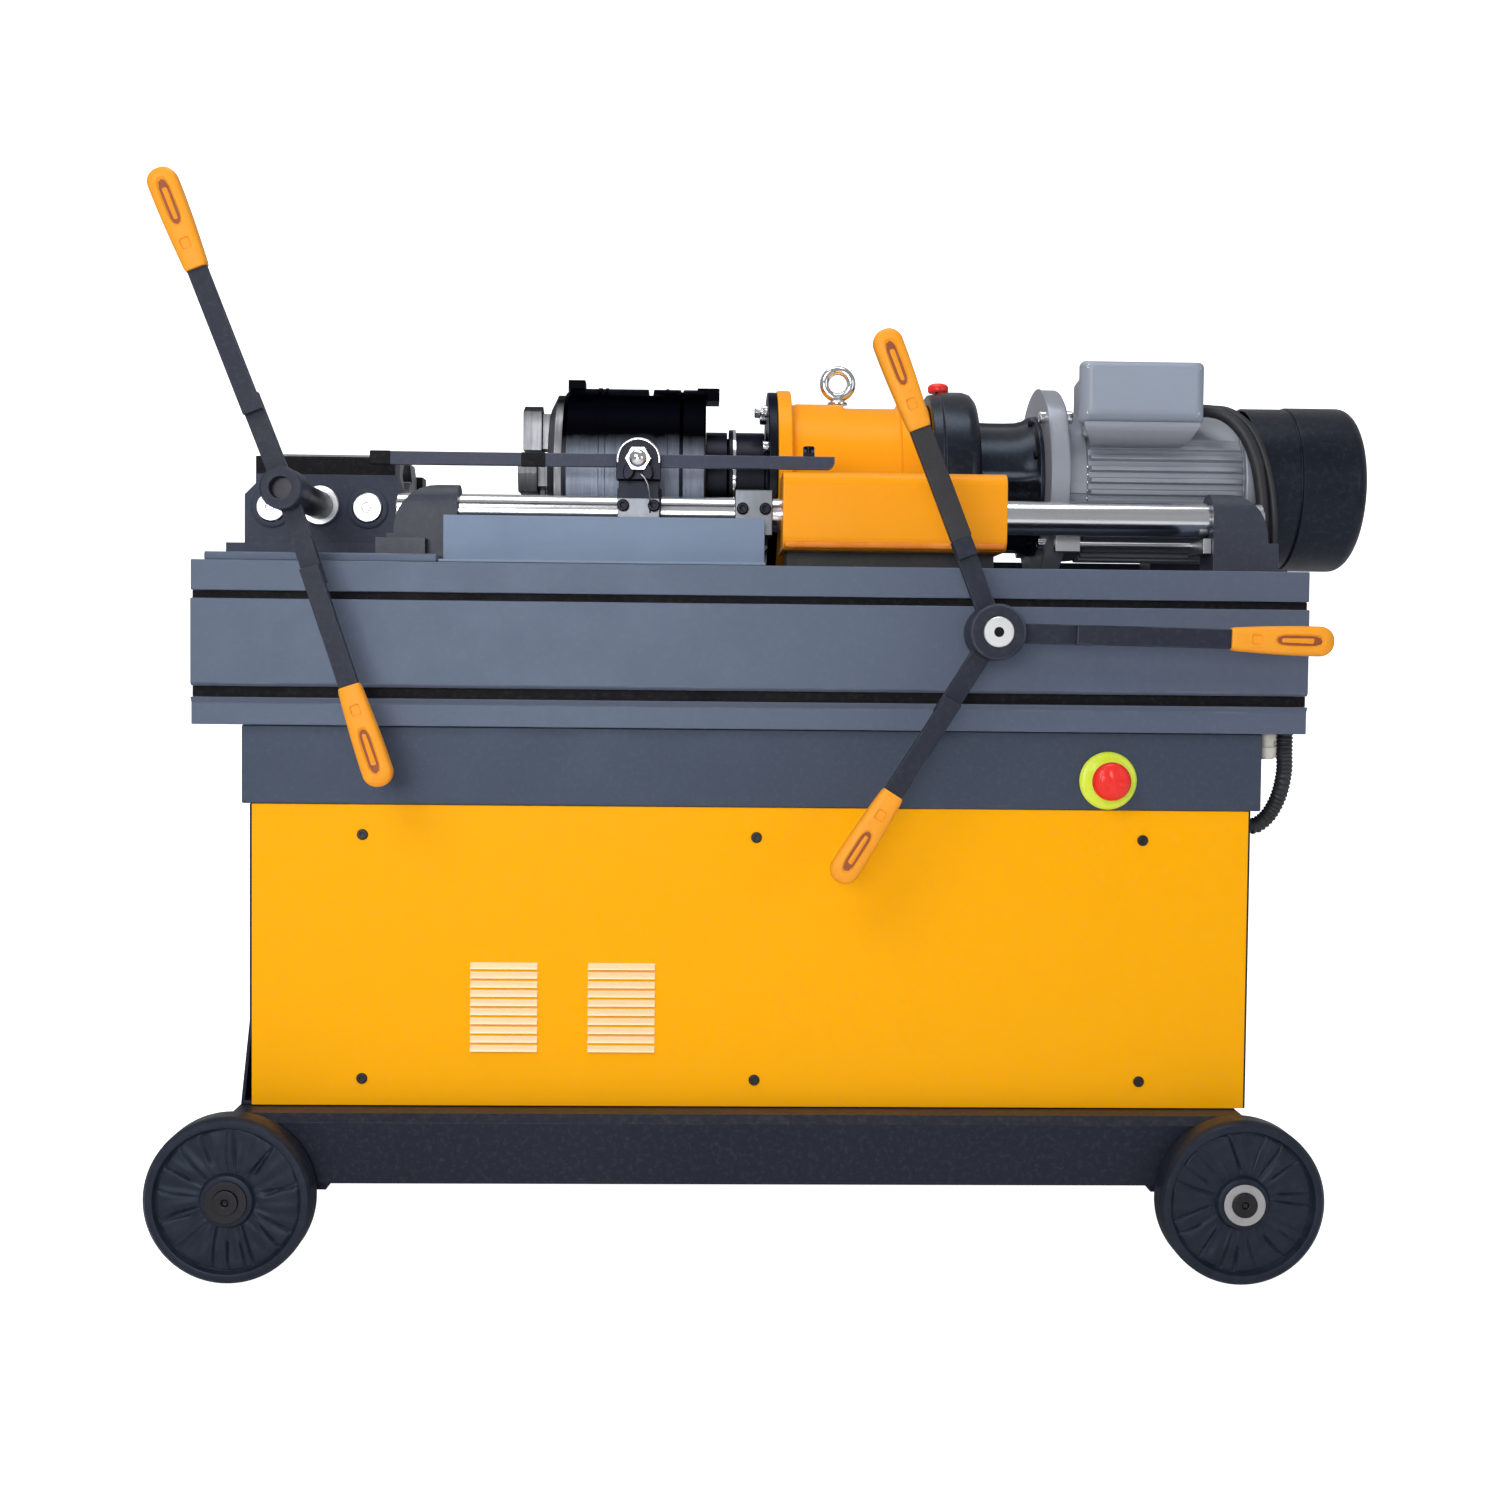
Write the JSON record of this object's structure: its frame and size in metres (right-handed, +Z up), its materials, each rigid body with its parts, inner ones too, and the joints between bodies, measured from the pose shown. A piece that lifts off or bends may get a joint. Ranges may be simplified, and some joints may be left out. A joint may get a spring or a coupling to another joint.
{
  "type": "pipe threading machine",
  "caption": "Wheeled bar threading machine: a screw vise, a rack-fed carriage on guide rods with a rolling head, gearbox and flange motor, over a bed and a cabinet.",
  "frame": {"origin": "on the floor under the middle of the machine, in the plane of the spindle axis", "axes": "+X along the spindle from the vise to the motor, -Y towards the operator, +Z up"},
  "size_m": [1.2896, 0.62, 1.0979],
  "materials": {
    "slate_paint": "satin enamel over steel plate",
    "dark_paint": "satin black enamel",
    "yellow_paint": "gloss enamel",
    "bright_steel": "ground and turned",
    "blackened_steel": "blackened",
    "cast_iron": "machined and as cast",
    "motor_alloy": "die cast, painted light grey",
    "box_grey": "grey-blue enamel",
    "orange_grip": "moulded",
    "black_rubber": "matt sheath",
    "wheel_plastic": "moulded with radial ribs",
    "red_plastic": "moulded",
    "lime_plastic": "moulded",
    "galvanised_sheet": "zinc coated"
  },
  "bodies": {
    "frame": {"base_frame": "dark_paint", "axle_left": "bright_steel", "axle_right": "bright_steel", "cabinet_shell": "dark_paint", "front_panel": "yellow_paint", "control_beam": "dark_paint", "coolant_tank": "galvanised_sheet", "coolant_pump": "cast_iron", "electrical_panel": "galvanised_sheet", "estop_plate": "lime_plastic", "bed": "slate_paint", "rear_splash_rail": "dark_paint", "guard_plate": "slate_paint", "guide_rod_front": "bright_steel", "guide_rod_rear": "bright_steel", "rod_bracket_left_front": "slate_paint", "rod_bracket_left_rear": "slate_paint", "rod_bracket_right_front": "slate_paint", "rod_bracket_right_rear": "slate_paint", "stop_block": "blackened_steel", "bar_post": "blackened_steel", "vise_base": "slate_paint", "vise_housing": "slate_paint", "vise_guide_bar_left": "bright_steel", "vise_guide_bar_right": "bright_steel", "side_conduit": "black_rubber", "limit_switch": "bright_steel"},
    "wheel_front_left": {"wheel_front_left": "wheel_plastic"},
    "wheel_front_right": {"wheel_front_right": "wheel_plastic"},
    "wheel_rear_left": {"wheel_rear_left": "wheel_plastic"},
    "wheel_rear_right": {"wheel_rear_right": "wheel_plastic"},
    "vise_lever": {"vise_screw": "bright_steel", "vise_lever": "slate_paint", "lever_grip_upper": "orange_grip", "lever_grip_lower": "orange_grip"},
    "jaw_front": {"vise_jaw_front": "cast_iron"},
    "jaw_rear": {"vise_jaw_rear": "cast_iron"},
    "feed_handle": {"feed_shaft": "bright_steel", "feed_spokes": "slate_paint", "feed_grip_upper": "orange_grip", "feed_grip_right": "orange_grip", "feed_grip_lower": "orange_grip"},
    "carriage": {"carriage_saddle": "cast_iron", "carriage_cover": "yellow_paint", "feed_rack": "bright_steel", "gearbox_housing": "yellow_paint", "reducer_housing": "blackened_steel", "oil_cap": "red_plastic", "eyebolt": "bright_steel", "motor_housing": "motor_alloy", "junction_box": "box_grey", "fan_cowl": "blackened_steel", "motor_cable": "black_rubber"},
    "spindle": {"spindle_shaft": "blackened_steel", "rolling_head": "cast_iron", "peeling_head": "bright_steel"},
    "rotor": {"motor_rotor": "cast_iron"},
    "stroke_bar": {"stroke_bar": "slate_paint"},
    "lock_knob": {"lock_knob": "bright_steel"},
    "estop_button": {"estop_button": "red_plastic"}
  },
  "joints": [
    {"name": "wheel_front_left_spin", "type": "hinge", "parent": "frame", "child": "wheel_front_left", "pos_m": [-0.56, -0.282, 0.0836], "axis": [0, 1, 0], "continuous": true},
    {"name": "wheel_front_right_spin", "type": "hinge", "parent": "frame", "child": "wheel_front_right", "pos_m": [0.456, -0.282, 0.0836], "axis": [0, 1, 0], "continuous": true},
    {"name": "wheel_rear_left_spin", "type": "hinge", "parent": "frame", "child": "wheel_rear_left", "pos_m": [-0.56, 0.282, 0.0836], "axis": [0, 1, 0], "continuous": true},
    {"name": "wheel_rear_right_spin", "type": "hinge", "parent": "frame", "child": "wheel_rear_right", "pos_m": [0.456, 0.282, 0.0836], "axis": [0, 1, 0], "continuous": true},
    {"name": "vise_lever_turn", "type": "hinge", "parent": "frame", "child": "vise_lever", "pos_m": [-0.505, 0, 0.788], "axis": [0, 1, 0], "range_deg": [-450, 720]},
    {"name": "jaw_front_slide", "type": "slide", "parent": "frame", "child": "jaw_front", "axis": [0, 1, 0], "range_m": [-0.0101, 0.0161]},
    {"name": "jaw_rear_slide", "type": "slide", "parent": "frame", "child": "jaw_rear", "axis": [0, -1, 0], "range_m": [-0.0101, 0.0161]},
    {"name": "carriage_slide", "type": "slide", "parent": "frame", "child": "carriage", "axis": [1, 0, 0], "range_m": [-0.008, 0.15], "deforming": ["motor_cable"]},
    {"name": "feed_handle_turn", "type": "hinge", "parent": "frame", "child": "feed_handle", "pos_m": [0.1985, 0, 0.655], "axis": [0, 1, 0], "range_deg": [-16, 287]},
    {"name": "spindle_spin", "type": "hinge", "parent": "carriage", "child": "spindle", "pos_m": [0, 0, 0.83], "axis": [1, 0, 0], "continuous": true},
    {"name": "rotor_spin", "type": "hinge", "parent": "carriage", "child": "rotor", "pos_m": [0.4, 0, 0.83], "axis": [1, 0, 0], "continuous": true},
    {"name": "stroke_bar_slide", "type": "slide", "parent": "frame", "child": "stroke_bar", "axis": [1, 0, 0], "range_m": [-0.03, 0.03]},
    {"name": "lock_knob_turn", "type": "hinge", "parent": "frame", "child": "lock_knob", "pos_m": [-0.161, -0.2, 0.8318], "axis": [0, 1, 0], "range_deg": [-180, 0]},
    {"name": "estop_push", "type": "slide", "parent": "frame", "child": "estop_button", "axis": [0, 1, 0], "range_m": [0, 0.005]}
  ],
  "couplings": [
    {"joint": "jaw_front_slide", "follows": "vise_lever_turn", "m_per_rad": 0.0012732},
    {"joint": "jaw_rear_slide", "follows": "vise_lever_turn", "m_per_rad": 0.0012732},
    {"joint": "feed_handle_turn", "follows": "carriage_slide", "rad_per_m": 33.333},
    {"joint": "rotor_spin", "follows": "spindle_spin", "ratio": 23}
  ]
}
